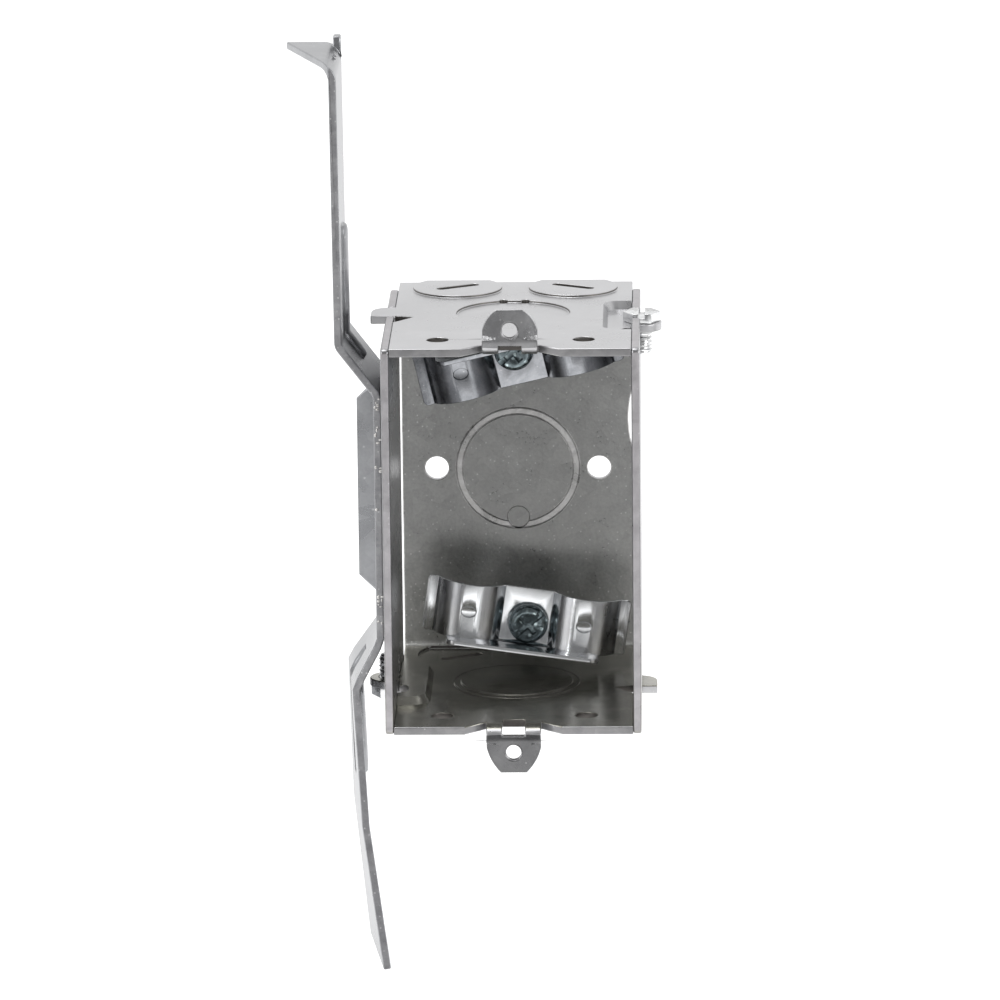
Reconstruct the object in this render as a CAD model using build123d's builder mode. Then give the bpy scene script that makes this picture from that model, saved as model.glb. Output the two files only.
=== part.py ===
from build123d import *
import os
from math import radians, sqrt, tan

# Gangable steel switch box with two cable clamps and a stud bracket, in millimetres.
# X runs to the right, Y runs into the box from its open front, and Z runs up.
# The origin lies midway between the two device screw holes, on the front of their ears.

# Box shell
sheet = 1.6
box_height = 76.2
box_depth = 63.5
panel_width = 46.2
fold_radius = 1.0

# Device ears at the front of the top and bottom panels
device_hole_spacing = 83.3
device_hole_diameter = 3.3
ear_width = 10.6
ear_reach = 4.05
ear_tip_width = 5.0
ear_shoulder = 0.45
ear_fold_radius = 1.4
ear_foot_rise = 0.3
ear_face_width = 5.0
ear_wing_angle = 36.0
ear_wing_rise = 0.5
ear_side_radius = 8.0
ear_window_width = 4.4
ear_window_depth = 5.6
ear_window_rise = 2.0
ear_relief_depth = 3.9
ear_relief_width = 4.1

# Holes for plaster ears, in the top and bottom panels
plaster_hole_spacing = 28.0
plaster_hole_diameter = 4.2
plaster_hole_depth = 8.5

# Knockouts
knockout_lift = 0.5
knockout_diameter = 22.1
knockout_ring_width = 1.3
knockout_ring_lift = 0.2
knockout_notch_diameter = 1.4
knockout_notch_pitch = 4.4
panel_knockout_setback = 30.5
back_dimple_diameter = 4.5
back_dimple_drop = 10.0
cable_knockout_diameter = 17.5
cable_knockout_pitch = 22.8
cable_knockout_setback = 8.7
pry_slot_length = 9.2
pry_slot_width = 1.9
pry_slot_angle = 29.0

# Back panel
back_hole_spacing = 32.4
back_hole_diameter = 4.7
scallop_height = 10.0
scallop_length = 13.2
scallop_depth = 1.0

# Number 8 machine screws and their holes
screw_diameter = 4.17
thread_clearance = 0.05
screw_tip_chamfer = 0.5

# Lugs and pockets that gang one box to the next
lug_offset = 25.0
lug_radius = 3.9
pocket_width = 5.6
pocket_length = 26.0
pocket_wall_lean = 30.0
pocket_advance = 1.75
pocket_corner = 3.0
lug_relief_reach = 2.1
lug_relief_length = 5.5
lug_relief_advance = 8.95
plain_lug_setback = 2.25
plain_lug_width = 8.0
plain_lug_reach = 4.6
plain_lug_corner = 3.5
plain_notch_reach = 3.7
plain_notch_width = 6.0
plain_notch_advance = 4.25

# Removable side plates
plate_sheet = 1.6
plate_setback = 8.5
plate_corner = 1.0
notch_clearance = 0.3
shank_slot_width = 4.8
shank_slot_end = 29.9

# Gang screws
gang_screw_length = 6.3
gang_head_width = 6.35
gang_head_height = 1.9
gang_head_chamfer = 0.35
gang_slot_width = 1.2
gang_slot_depth = 0.9
seat_gap = 0.05

# Cable clamps
clamp_screw_height = 27.7
upper_clamp_screw_offset = -0.25
lower_clamp_screw_offset = 2.05
clamp_sheet = 0.9
clamp_length = 40.6
clamp_hole_offset = 0.5
clamp_free_edge = 7.0
clamp_tab_height = 4.2
clamp_corner = 1.0
clamp_arch_height = 4.2
clamp_flange_offset = 5.4
clamp_flange_length = 30.4
clamp_flange_corner = 2.0
clamp_flange_height = 12.2
clamp_flange_lean = 8.8
clamp_fold_radius = 1.2
lobe_pitch = 23.0
lobe_chord = 13.4
lobe_rise = 4.0
dimple_length = 3.5
dimple_width = 2.7
dimple_depth = 0.5
dimple_drop = 1.5
upper_clamp_swivel = 13.2
lower_clamp_swivel = 8.1

# Clamp screws
clamp_screw_length = 18.0
clamp_screw_proud = 0.3
clamp_hole_clearance = 0.1
pan_head_diameter = 7.8
pan_head_height = 2.4
pan_head_round = 1.3
recess_width = 1.1
recess_length = 4.4
recess_depth = 1.2
recess_angle = 40.0
slot_depth = 0.7

# Stud bracket
strip_width = 25.0
strip_sheet = 1.5
strip_fold_radius = 2.5
weld_gap = 0.75
weld_spot_diameter = 5.0
weld_spot_pitch = 24.0
middle_half_height = 24.6
upper_fold_height = 34.3
upper_arm_offset = 7.4
upper_arm_lean = 0.35
prong_height = 89.7
prong_reach = 9.2
upstand_height = 91.2
upstand_width = 3.0
lower_fold_height = 34.0
lower_arm_offset = 5.85
lower_knee_height = 62.0
lower_knee_return = 1.1
lower_arm_return = 4.5
lower_arm_end = 91.4
lower_fold_twist = 4.4
lower_end_twist = 8.3
flange_setback = 3.55
flange_reach = 4.45
flange_half_height = 21.5
flange_corner = 3.6
rib_height = 1.15
rib_width = 5.0
rib_start = 28.3
upper_rib_end = 57.0
lower_rib_end = 55.5
gusset_drop = 4.0
gusset_width = 3.0

# Places that follow from the sizes above
half_height = box_height / 2
half_width = panel_width / 2
mid_depth = box_depth / 2
panel_knockout_depth = box_depth - panel_knockout_setback
cable_knockout_depth = box_depth - cable_knockout_setback
plate_depth = box_depth - plate_setback
plain_lug_depth = mid_depth + plain_lug_setback
plain_notch_depth = mid_depth - plain_notch_advance
inner_half_height = half_height - sheet
sheet_middle = half_height - sheet / 2
ear_top = device_hole_spacing / 2 + ear_reach
ear_foot = inner_half_height + ear_fold_radius + sheet + ear_foot_rise
lug_seat = half_height - sheet
lug_under = lug_seat - sheet
plate_outer = half_width + plate_sheet
clamp_face = box_depth + clamp_screw_proud - clamp_screw_length + seat_gap
lobe_radius = (lobe_chord**2 / 4 + lobe_rise**2) / (2 * lobe_rise)
lobe_centre = lobe_radius - lobe_rise
strip_inner = -plate_outer - weld_gap
strip_middle = strip_inner - strip_sheet / 2

# Half of the folded shell, from the top ear to the middle of the back panel
with BuildPart() as half_shell:
    with BuildSketch(Plane.YZ):
        with BuildLine():
            FilletPolyline(
                (0, sheet_middle),
                (box_depth - sheet / 2, sheet_middle),
                (box_depth - sheet / 2, 0),
                radius=fold_radius + sheet / 2,
            )
        trace(line_width=sheet)
    extrude(amount=half_width, both=True)

    # Slanted relief on both sides of the ear
    with BuildSketch(Plane.XY.offset(inner_half_height)):
        with BuildLine():
            Polyline(
                (-ear_width / 2 - ear_relief_width, 0),
                (-ear_width / 2, ear_relief_depth),
                (ear_width / 2, ear_relief_depth),
                (ear_width / 2 + ear_relief_width, 0),
                close=True,
            )
        make_face()
    extrude(amount=sheet, mode=Mode.SUBTRACT)

    # Ear folded up from the panel
    with BuildSketch(Plane.YZ):
        with BuildLine():
            FilletPolyline(
                (ear_relief_depth + sheet, sheet_middle),
                (sheet / 2, sheet_middle),
                (sheet / 2, ear_foot),
                radius=ear_fold_radius + sheet / 2,
            )
        trace(line_width=sheet)
    extrude(amount=ear_width / 2, both=True)

    # Ear wings bent back on both sides of the flat face
    wing_setback = (ear_width - ear_face_width) / 2 * tan(radians(ear_wing_angle))
    wing_levels = (
        (ear_foot - ear_foot_rise / 2, wing_setback / 20),
        (ear_foot + ear_wing_rise, wing_setback),
        (ear_top, wing_setback),
    )
    for level, setback in wing_levels:
        with BuildSketch(Plane.XY.offset(level)):
            with BuildLine():
                Polyline(
                    (-ear_width / 2, setback),
                    (-ear_face_width / 2, 0),
                    (ear_face_width / 2, 0),
                    (ear_width / 2, setback),
                    (ear_width / 2, setback + sheet),
                    (ear_face_width / 2, sheet),
                    (-ear_face_width / 2, sheet),
                    (-ear_width / 2, setback + sheet),
                    close=True,
                )
            make_face()
    loft(ruled=True)

    # Ear tip narrowed on both sides, with the device screw hole
    with BuildSketch(Plane.XZ):
        with BuildLine():
            ear_side = Polyline(
                (ear_tip_width / 2, ear_top),
                (ear_width, ear_top),
                (ear_width / 2, device_hole_spacing / 2 - ear_shoulder),
            )
            RadiusArc(ear_side @ 0, ear_side @ 1, ear_side_radius)
        make_face()
        mirror(about=Plane.YZ)
        with Locations((0, device_hole_spacing / 2)):
            Circle(device_hole_diameter / 2)
    extrude(amount=box_depth / 4, both=True, mode=Mode.SUBTRACT)

    # Window punched through the fold of the ear
    with BuildSketch(Plane.XY.offset(inner_half_height)):
        with Locations((0, ear_window_depth / 2)):
            Rectangle(ear_window_width, ear_window_depth)
    extrude(amount=ear_window_rise, mode=Mode.SUBTRACT)

    # Pocket one sheet deep with sloping walls, which takes a neighbour's plain lug
    pocket_margin = 2 * sheet * tan(radians((90 - pocket_wall_lean) / 2))
    with BuildSketch(Plane.XY.offset(inner_half_height)):
        with Locations((half_width, mid_depth - pocket_advance)):
            RectangleRounded(
                2 * pocket_width + pocket_margin,
                pocket_length + pocket_margin,
                pocket_corner + pocket_margin / 2,
            )
    extrude(amount=-sheet, taper=pocket_wall_lean)
    with BuildSketch(Plane.XY.offset(half_height)):
        with Locations((half_width, mid_depth - pocket_advance)):
            RectangleRounded(2 * pocket_width, pocket_length, pocket_corner)
    extrude(amount=-sheet, taper=pocket_wall_lean, mode=Mode.SUBTRACT)
    with BuildSketch(Plane.YZ.offset(half_width)):
        with Locations((mid_depth - pocket_advance, half_height)):
            Rectangle(2 * pocket_length, 4 * sheet)
    extrude(amount=2 * pocket_width, mode=Mode.SUBTRACT)

    # Tapped lug with its relief, on the level of the pocket floor
    with BuildSketch(Plane.XY.offset(lug_under)):
        with Locations((lug_offset, mid_depth)):
            Circle(lug_radius)
            Rectangle(lug_offset - half_width + sheet, 2 * lug_radius, align=(Align.MAX, Align.CENTER))
    extrude(amount=sheet)
    with BuildSketch(Plane.XY.offset(lug_under)):
        with Locations((half_width, mid_depth - lug_relief_advance)):
            RectangleRounded(2 * lug_relief_reach, lug_relief_length, lug_relief_reach * 0.9)
        with Locations((lug_offset, mid_depth)):
            Circle(screw_diameter / 2 + thread_clearance)
    extrude(amount=sheet, mode=Mode.SUBTRACT)

    # Plain lug on the other side, with the notch that lets a neighbour's screw in
    with BuildSketch(Plane.XY.offset(inner_half_height)) as plain_lug:
        with Locations((-half_width - plain_lug_reach, plain_lug_depth)):
            Rectangle(plain_lug_reach + sheet, plain_lug_width, align=(Align.MIN, Align.CENTER))
        outer_corner = plain_lug.vertices().group_by(Axis.X)[0].sort_by(Axis.Y)[-1]
        fillet(outer_corner, plain_lug_corner)
    extrude(amount=sheet)
    with BuildSketch(Plane.XY.offset(inner_half_height)) as plain_notch:
        with BuildLine():
            Polyline(
                (-half_width, plain_notch_depth - plain_notch_width / 2),
                (-half_width + plain_notch_reach, plain_notch_depth + plain_notch_width / 4),
                (-half_width, plain_notch_depth + plain_notch_width / 2),
                close=True,
            )
        make_face()
    extrude(amount=sheet, mode=Mode.SUBTRACT)

    # Round holes for plaster ears
    with BuildSketch(Plane.XY.offset(inner_half_height)):
        with Locations((0, plaster_hole_depth)):
            with GridLocations(plaster_hole_spacing, 1, 2, 1):
                Circle(plaster_hole_diameter / 2)
    extrude(amount=sheet, mode=Mode.SUBTRACT)

    # Centre knockout with its coined ring, pressed inward, held by a tie between two notches
    with BuildSketch(Plane.XY.offset(inner_half_height)):
        with Locations((0, panel_knockout_depth)):
            Circle(knockout_diameter / 2 + knockout_ring_width)
    extrude(amount=-knockout_ring_lift)
    with BuildSketch(Plane.XY.offset(inner_half_height)):
        with Locations((0, panel_knockout_depth)):
            Circle(knockout_diameter / 2)
    extrude(amount=-knockout_lift)
    with BuildSketch(Plane.XY.offset(half_height)):
        with Locations((0, panel_knockout_depth)):
            Circle(knockout_diameter / 2)
    extrude(amount=-knockout_lift, mode=Mode.SUBTRACT)
    with BuildSketch(Plane.XY.offset(half_height)):
        with Locations((0, panel_knockout_depth + knockout_diameter / 2)):
            with GridLocations(knockout_notch_pitch, 1, 2, 1):
                Circle(knockout_notch_diameter / 2)
    extrude(amount=-2 * knockout_lift, mode=Mode.SUBTRACT)

    # Two cable knockouts that end at the rear fold, each with a pry slot
    fold_start = box_depth - sheet - fold_radius
    for side in (-1, 1):
        cable_place = (side * cable_knockout_pitch / 2, cable_knockout_depth)
        with BuildSketch(Plane.XY.offset(half_height)):
            with Locations(cable_place):
                Circle(cable_knockout_diameter / 2)
            with Locations((0, fold_start)):
                Rectangle(panel_width, sheet * 4, align=(Align.CENTER, Align.MIN), mode=Mode.SUBTRACT)
        extrude(amount=knockout_lift)
        with BuildSketch(Plane.XY.offset(inner_half_height)):
            with Locations(cable_place):
                Circle(cable_knockout_diameter / 2)
            with Locations((0, fold_start)):
                Rectangle(panel_width, sheet * 4, align=(Align.CENTER, Align.MIN), mode=Mode.SUBTRACT)
        extrude(amount=knockout_lift, mode=Mode.SUBTRACT)
        with BuildSketch(Plane.XY.offset(inner_half_height)):
            with Locations(cable_place):
                SlotOverall(pry_slot_length, pry_slot_width, rotation=-side * pry_slot_angle)
        extrude(amount=sheet + knockout_lift, mode=Mode.SUBTRACT)

# Whole box: the half shell and the same half turned about the depth axis
with BuildPart() as box_body:
    add(half_shell.part)
    add(half_shell.part.rotate(Axis.Y, 180))

    # Back knockout, pressed inward, held by a half-round tie at the bottom
    with BuildSketch(Plane.XZ.offset(sheet - box_depth)):
        Circle(knockout_diameter / 2 + knockout_ring_width)
    extrude(amount=knockout_ring_lift)
    with BuildSketch(Plane.XZ.offset(sheet - box_depth)):
        Circle(knockout_diameter / 2)
    extrude(amount=knockout_lift)
    with BuildSketch(Plane.XZ.offset(-box_depth)):
        Circle(knockout_diameter / 2)
    extrude(amount=knockout_lift, mode=Mode.SUBTRACT)
    with BuildSketch(Plane.XZ.offset(sheet - box_depth)):
        with Locations((0, -back_dimple_drop)):
            Circle(back_dimple_diameter / 2)
    extrude(amount=knockout_lift, mode=Mode.SUBTRACT)

    # Two mounting holes, two tapped holes for the clamp screws, and a scallop in the right edge
    with BuildSketch(Plane.XZ.offset(-box_depth)):
        with GridLocations(back_hole_spacing, 1, 2, 1):
            Circle(back_hole_diameter / 2)
        with Locations(
            (upper_clamp_screw_offset, clamp_screw_height),
            (lower_clamp_screw_offset, -clamp_screw_height),
        ):
            Circle(screw_diameter / 2 + thread_clearance)
        scallop_radius = (scallop_length**2 / 4 + scallop_depth**2) / (2 * scallop_depth)
        with Locations((half_width - scallop_depth + scallop_radius, scallop_height)):
            Circle(scallop_radius)
    extrude(amount=sheet, mode=Mode.SUBTRACT)

# Right side plate, notched for the lugs of the box and for the gang screw
with BuildPart() as right_side_plate:
    with BuildSketch(Plane.YZ.offset(half_width)):
        with Locations((plate_depth / 2, 0)):
            RectangleRounded(plate_depth, box_height, plate_corner)
        with Locations((plain_lug_depth, -half_height)):
            Rectangle(
                plain_lug_width + 2 * notch_clearance,
                2 * (sheet + notch_clearance),
                mode=Mode.SUBTRACT,
            )
        with Locations((mid_depth, half_height)):
            Rectangle(
                2 * (lug_radius + notch_clearance),
                2 * (half_height - lug_under + notch_clearance),
                mode=Mode.SUBTRACT,
            )
        with Locations((mid_depth, half_height)):
            Rectangle(shank_slot_width, 2 * (half_height - shank_slot_end), mode=Mode.SUBTRACT)
    extrude(amount=plate_sheet)

# Left side plate: the same plate turned about the depth axis
with BuildPart() as left_side_plate:
    add(right_side_plate.part.rotate(Axis.Y, 180))

# Gang screw at the top right, with a slotted hexagon head
with BuildPart() as right_gang_screw:
    with BuildSketch(Plane.XY.offset(lug_seat + seat_gap)):
        with Locations((lug_offset, mid_depth)):
            RegularPolygon(gang_head_width / 2, 6, major_radius=False)
    extrude(amount=gang_head_height)
    with BuildSketch(Plane.XY.offset(lug_seat + seat_gap)):
        with Locations((lug_offset, mid_depth)):
            Circle(gang_head_width / 2 + gang_head_chamfer + gang_head_height)
    extrude(amount=gang_head_height, taper=45, mode=Mode.INTERSECT)
    with BuildSketch(Plane.XY.offset(lug_seat + seat_gap + gang_head_height)):
        with Locations((lug_offset, mid_depth)):
            Rectangle(gang_slot_width, 2 * gang_head_width)
    extrude(amount=-gang_slot_depth, mode=Mode.SUBTRACT)
    with BuildSketch(Plane.XY.offset(lug_seat + seat_gap)):
        with Locations((lug_offset, mid_depth)):
            Circle(screw_diameter / 2)
    extrude(amount=-gang_screw_length)
    chamfer(right_gang_screw.edges().group_by(Axis.Z)[0], screw_tip_chamfer)

# Gang screw at the bottom left: the same screw turned about the depth axis
with BuildPart() as left_gang_screw:
    add(right_gang_screw.part.rotate(Axis.Y, 180))

# Clamp with its screw hole on the origin, its front facing the open side of the box
lobe_places = (
    (clamp_hole_offset - lobe_pitch / 2, lobe_centre),
    (clamp_hole_offset + lobe_pitch / 2, lobe_centre),
)
with BuildPart() as clamp:
    with BuildSketch(Plane.XZ):
        with Locations((clamp_hole_offset, (clamp_tab_height - clamp_free_edge) / 2)):
            RectangleRounded(clamp_length, clamp_free_edge + clamp_tab_height, clamp_corner)
    extrude(amount=-clamp_sheet)

    # Stiffening flange folded forward and leaning back over the screw
    flange_fall = (clamp_flange_height + clamp_sheet / 2) * tan(radians(clamp_flange_lean))
    with BuildSketch(Plane.YZ.offset(clamp_hole_offset)):
        with BuildLine():
            FilletPolyline(
                (clamp_sheet / 2, 0),
                (clamp_sheet / 2, clamp_flange_offset - clamp_sheet / 2),
                (-clamp_flange_height, clamp_flange_offset - clamp_sheet / 2 - flange_fall),
                radius=clamp_fold_radius,
            )
        trace(line_width=clamp_sheet)
    extrude(amount=clamp_flange_length / 2, both=True)
    fillet(clamp.edges().sort_by(Axis.Y)[1:3], clamp_flange_corner)

    # Two arched lobes with open cable channels behind them
    with BuildSketch(Plane.XY.offset(-clamp_free_edge)):
        with Locations(*lobe_places):
            Circle(lobe_radius)
        with Locations((0, clamp_sheet)):
            Rectangle(2 * clamp_length, 2 * clamp_length, align=(Align.CENTER, Align.MIN), mode=Mode.SUBTRACT)
    extrude(amount=clamp_free_edge + clamp_arch_height)
    with BuildSketch(Plane.XY.offset(-clamp_free_edge)):
        with Locations(*lobe_places):
            Circle(lobe_radius - clamp_sheet)
    extrude(amount=4 * clamp_free_edge, mode=Mode.SUBTRACT)

    # Oval dimple pressed into the crest of each lobe
    with BuildSketch(Plane.XZ.offset(lobe_rise - clamp_sheet / 2)):
        with Locations((clamp_hole_offset, -dimple_drop)):
            with GridLocations(lobe_pitch, 1, 2, 1):
                Ellipse(dimple_length / 2, dimple_width / 2)
    extrude(amount=-clamp_sheet / 2 - dimple_depth)
    with BuildSketch(Plane.XZ.offset(lobe_rise)):
        with Locations((clamp_hole_offset, -dimple_drop)):
            with GridLocations(lobe_pitch, 1, 2, 1):
                Ellipse(dimple_length / 2 - dimple_depth / 2, dimple_width / 2 - dimple_depth / 2)
    extrude(amount=-dimple_depth, mode=Mode.SUBTRACT)
    with BuildSketch(Plane.XZ.offset(clamp_sheet)):
        Circle(screw_diameter / 2 + clamp_hole_clearance)
    extrude(amount=-3 * clamp_sheet, mode=Mode.SUBTRACT)

# Both clamps stand fully open, as far from the back panel as their screws let them
upper_clamp_place = (upper_clamp_screw_offset, clamp_face, clamp_screw_height)
upper_clamp_seat = Location(upper_clamp_place, (0, -upper_clamp_swivel, 0))
with BuildPart() as upper_clamp:
    add(clamp.part.moved(upper_clamp_seat))

lower_clamp_place = (lower_clamp_screw_offset, clamp_face, -clamp_screw_height)
lower_clamp_seat = Location(lower_clamp_place, (0, 180 + lower_clamp_swivel, 0))
with BuildPart() as lower_clamp:
    add(clamp.part.moved(lower_clamp_seat))

# Clamp screw standing on the origin, its head facing the open side of the box
with BuildPart() as clamp_screw:
    with BuildSketch(Plane.XZ):
        Circle(pan_head_diameter / 2)
    extrude(amount=pan_head_height)
    fillet(clamp_screw.edges().group_by(Axis.Y)[0], pan_head_round)
    with BuildSketch(Plane.XZ.offset(pan_head_height)):
        Rectangle(recess_length, recess_width, rotation=recess_angle)
        Rectangle(recess_width, recess_length, rotation=recess_angle)
    extrude(amount=-recess_depth, mode=Mode.SUBTRACT)
    with BuildSketch(Plane.XZ.offset(pan_head_height)):
        Rectangle(2 * pan_head_diameter, recess_width, rotation=recess_angle)
    extrude(amount=-slot_depth, mode=Mode.SUBTRACT)
    with BuildSketch(Plane.XZ):
        Circle(screw_diameter / 2)
    extrude(amount=-clamp_screw_length)
    chamfer(clamp_screw.edges().group_by(Axis.Y)[-1], screw_tip_chamfer)

with BuildPart() as upper_clamp_screw:
    add(clamp_screw.part.moved(Location(upper_clamp_place) * Pos(0, -seat_gap, 0)))

with BuildPart() as lower_clamp_screw:
    add(clamp_screw.part.moved(Location(lower_clamp_place) * Pos(0, -seat_gap, 0)))

# Stud bracket: the straight middle, the upper arm and the prong in one folded strip
upper_arm_foot = strip_middle - upper_arm_offset
upper_arm_top = upper_arm_foot - upper_arm_lean
with BuildPart() as stud_bracket:
    with BuildSketch(Plane.XZ.offset(-mid_depth)):
        with BuildLine():
            FilletPolyline(
                (strip_middle, -middle_half_height + strip_fold_radius),
                (strip_middle, middle_half_height),
                (upper_arm_foot, upper_fold_height),
                (upper_arm_top, prong_height - strip_sheet / 2),
                (upper_arm_top - prong_reach - strip_sheet, prong_height - strip_sheet / 2),
                radius=strip_fold_radius,
            )
        trace(line_width=strip_sheet)
    extrude(amount=strip_width / 2, both=True)

    # Prong cut to a point at the back of the arm
    with BuildSketch(Plane.XY.offset(prong_height + strip_sheet)):
        with BuildLine():
            Polyline(
                (upper_arm_top - strip_sheet / 2, mid_depth - strip_width / 2),
                (upper_arm_top - strip_sheet / 2 - prong_reach, mid_depth + strip_width / 2),
                (upper_arm_top - 2 * prong_reach, mid_depth + strip_width / 2),
                (upper_arm_top - 2 * prong_reach, mid_depth - strip_width / 2),
                close=True,
            )
        make_face()
    extrude(amount=-4 * strip_sheet, mode=Mode.SUBTRACT)

    # Small upstand behind the prong
    with BuildSketch(Plane.XY.offset(prong_height - 2 * strip_fold_radius)):
        with Locations((upper_arm_top, mid_depth + strip_width / 2)):
            Rectangle(strip_sheet, upstand_width, align=(Align.CENTER, Align.MAX))
    extrude(amount=upstand_height - prong_height + 2 * strip_fold_radius)

    # Gusset pressed across the fold of the prong
    with BuildSketch(Plane.XZ.offset(-mid_depth)):
        with BuildLine():
            Polyline(
                (upper_arm_top, prong_height - strip_sheet / 2),
                (upper_arm_top - gusset_drop, prong_height - strip_sheet / 2),
                (upper_arm_top, prong_height - strip_sheet - gusset_drop),
                close=True,
            )
        make_face()
    extrude(amount=gusset_width / 2, both=True)

    # Middle flange folded from the back edge of the strip, with slanted corners
    flange_back = mid_depth + strip_width / 2 + flange_setback
    with BuildSketch(Plane.XY.offset(-flange_half_height)):
        with BuildLine():
            FilletPolyline(
                (strip_middle, mid_depth + strip_width / 4),
                (strip_middle, flange_back - strip_sheet / 2),
                (strip_middle - strip_sheet / 2 - flange_reach, flange_back - strip_sheet / 2),
                radius=strip_sheet / 2 + strip_sheet / 4,
            )
        trace(line_width=strip_sheet)
    extrude(amount=2 * flange_half_height)
    with BuildSketch(Plane.XZ.offset(-mid_depth - strip_width / 2)):
        with BuildLine():
            Polyline(
                (strip_middle - strip_sheet / 2 - flange_reach, flange_half_height - flange_corner),
                (strip_middle - strip_sheet, flange_half_height),
                (strip_middle - 2 * flange_reach, flange_half_height + flange_corner),
                close=True,
            )
        make_face()
        mirror(about=Plane.XZ)
    extrude(amount=-box_depth, mode=Mode.SUBTRACT)

    # Line down the middle of the lower arm, with its two folds and its knee
    with BuildLine(Plane.XZ.offset(-mid_depth), mode=Mode.PRIVATE) as lower_line:
        FilletPolyline(
            (strip_middle, -middle_half_height + strip_fold_radius),
            (strip_middle, -middle_half_height),
            (strip_middle - lower_arm_offset, -lower_fold_height),
            (strip_middle - lower_arm_offset + lower_knee_return, -lower_knee_height),
            (strip_middle - lower_arm_offset + lower_arm_return, -lower_arm_end),
            radius=strip_fold_radius,
        )

    # Line down the middle of the upper arm, through its outer fold
    with BuildLine(Plane.XZ.offset(-mid_depth), mode=Mode.PRIVATE) as upper_line:
        FilletPolyline(
            (upper_arm_foot - upper_arm_lean / 2, upper_rib_end),
            (upper_arm_foot, upper_fold_height),
            (strip_middle, middle_half_height),
            radius=strip_fold_radius,
        )

    # Sections down both lines, turned more and more towards the end of the lower arm
    station_count = 36
    lower_sections = []
    upper_sections = []
    for line, sections in ((lower_line, lower_sections), (upper_line, upper_sections)):
        wire = line.wire()
        for station in range(station_count + 1):
            point = wire @ (station / station_count)
            tangent = wire % (station / station_count)
            fold_share = (-point.Z - middle_half_height) / (lower_fold_height - middle_half_height)
            arm_share = (-point.Z - lower_fold_height) / (lower_arm_end - lower_fold_height)
            twist = lower_fold_twist * min(max(fold_share, 0), 1)
            twist = twist + (lower_end_twist - lower_fold_twist) * min(max(arm_share, 0), 1)
            width_direction = Vector(0, 1, 0).rotate(Axis.Z, twist)
            sections.append(Plane(point, width_direction, tangent.rotate(Axis.Z, twist)))

    # Lower arm through its sections
    for section in lower_sections:
        with BuildSketch(section):
            Rectangle(strip_width, strip_sheet)
    loft(ruled=True)

    # Rib pressed through each outer fold: it swells towards the box and is hollow behind
    rib_ends = ((upper_sections, upper_rib_end), (lower_sections, lower_rib_end))
    for sections, rib_end in rib_ends:
        for face_side, rib_mode in ((1, Mode.ADD), (-1, Mode.SUBTRACT)):
            for section in sections:
                end_distance = min(abs(section.origin.Z) - rib_start, rib_end - abs(section.origin.Z))
                if end_distance > rib_width / 20:
                    run_out = 1 - min(2 * end_distance / rib_width, 1)
                    share = sqrt(1 - run_out**2)
                    with BuildSketch(section):
                        with Locations((0, face_side * strip_sheet / 2)):
                            Ellipse(share * rib_width / 2, share * rib_height)
            loft(ruled=True, mode=rib_mode)

    # Weld spots that join the strip to the side plate
    with BuildSketch(Plane.YZ.offset(strip_inner)):
        with Locations((mid_depth, 0)):
            with GridLocations(1, weld_spot_pitch, 1, 2):
                Circle(weld_spot_diameter / 2)
    extrude(amount=weld_gap)

os.makedirs("parts", exist_ok=True)
box_body.part.label = "box_body"
left_side_plate.part.label = "left_side_plate"
right_side_plate.part.label = "right_side_plate"
stud_bracket.part.label = "stud_bracket"
upper_clamp.part.label = "upper_clamp"
lower_clamp.part.label = "lower_clamp"
upper_clamp_screw.part.label = "upper_clamp_screw"
lower_clamp_screw.part.label = "lower_clamp_screw"
right_gang_screw.part.label = "right_gang_screw"
left_gang_screw.part.label = "left_gang_screw"
export_step(box_body.part, "parts/box_body.step")
export_step(left_side_plate.part, "parts/left_side_plate.step")
export_step(right_side_plate.part, "parts/right_side_plate.step")
export_step(stud_bracket.part, "parts/stud_bracket.step")
export_step(upper_clamp.part, "parts/upper_clamp.step")
export_step(lower_clamp.part, "parts/lower_clamp.step")
export_step(upper_clamp_screw.part, "parts/upper_clamp_screw.step")
export_step(lower_clamp_screw.part, "parts/lower_clamp_screw.step")
export_step(right_gang_screw.part, "parts/right_gang_screw.step")
export_step(left_gang_screw.part, "parts/left_gang_screw.step")
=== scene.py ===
"""Dressed model of a gangable steel switch box with cable clamps and a stud bracket."""

import logging
import math
from collections.abc import Callable
from dataclasses import dataclass
from enum import Enum

import bmesh
import bpy
from mathutils import Matrix, Vector


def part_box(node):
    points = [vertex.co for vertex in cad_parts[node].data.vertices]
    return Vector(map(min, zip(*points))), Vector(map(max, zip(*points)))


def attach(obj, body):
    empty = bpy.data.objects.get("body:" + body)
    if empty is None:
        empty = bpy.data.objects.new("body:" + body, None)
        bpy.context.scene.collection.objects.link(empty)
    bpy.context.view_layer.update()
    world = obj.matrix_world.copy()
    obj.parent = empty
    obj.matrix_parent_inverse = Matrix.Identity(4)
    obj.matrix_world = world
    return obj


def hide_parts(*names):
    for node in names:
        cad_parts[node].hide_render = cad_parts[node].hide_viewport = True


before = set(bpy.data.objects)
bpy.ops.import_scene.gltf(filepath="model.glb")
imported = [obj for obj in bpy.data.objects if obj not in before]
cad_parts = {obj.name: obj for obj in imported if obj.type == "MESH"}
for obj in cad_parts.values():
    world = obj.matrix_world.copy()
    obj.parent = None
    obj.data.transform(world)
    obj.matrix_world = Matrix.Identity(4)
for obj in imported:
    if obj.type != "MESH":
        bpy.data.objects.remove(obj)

logging.basicConfig(level=logging.INFO, format="%(message)s")
LOG = logging.getLogger("switch_box")

Colour = tuple[float, float, float]
Point = tuple[float, float, float]
Span = tuple[float, float]
Socket = bpy.types.NodeSocket
Feeds = dict[str | int, Socket | float | tuple[float, ...]]

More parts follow.
